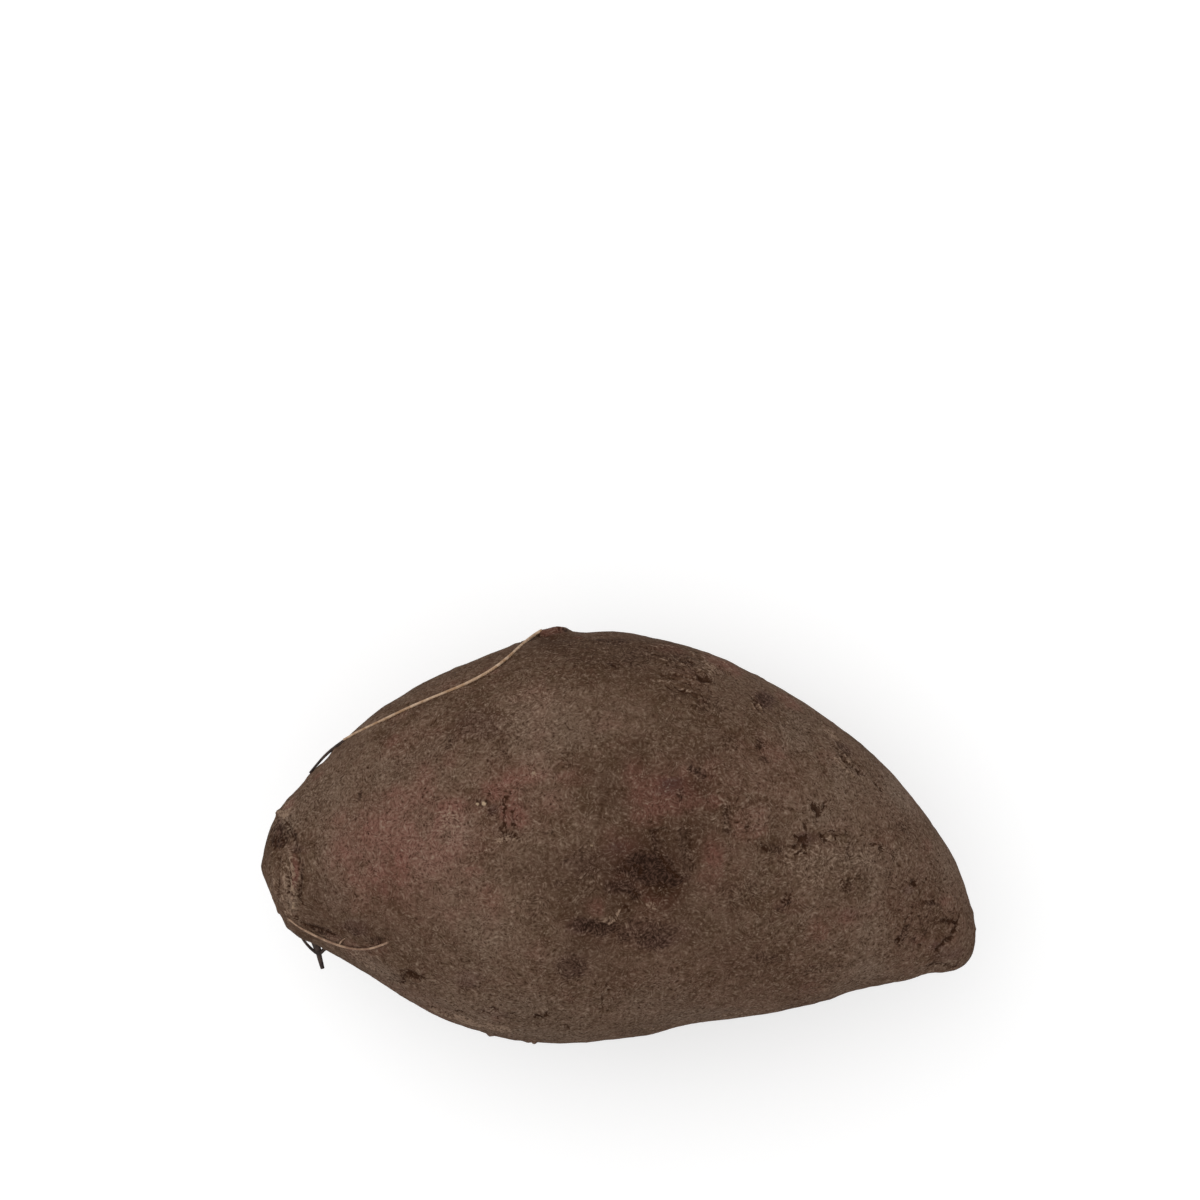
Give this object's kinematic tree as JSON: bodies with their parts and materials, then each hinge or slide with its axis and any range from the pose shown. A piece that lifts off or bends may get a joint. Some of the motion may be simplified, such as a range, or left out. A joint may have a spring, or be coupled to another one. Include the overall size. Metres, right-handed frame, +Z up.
{
  "type": "sweet potato",
  "caption": "Whole raw sweet potato with earthy purple-brown skin, a blunt stem end, a tapered tail end and fine dried rootlets, lying on its flatter side.",
  "frame": {"origin": "middle of the root's bounding box, on the surface that it lies on", "axes": "+X from the stem end to the tapered tail end, +Y towards the humped flank, +Z up"},
  "size_m": [0.1426, 0.0836, 0.0734],
  "materials": {
    "skin": "matte, earth-dusted purple-brown root skin",
    "rootlet": "matte, dried tan fibre"
  },
  "bodies": {
    "root": {"tuber": "skin"}
  },
  "joints": []
}
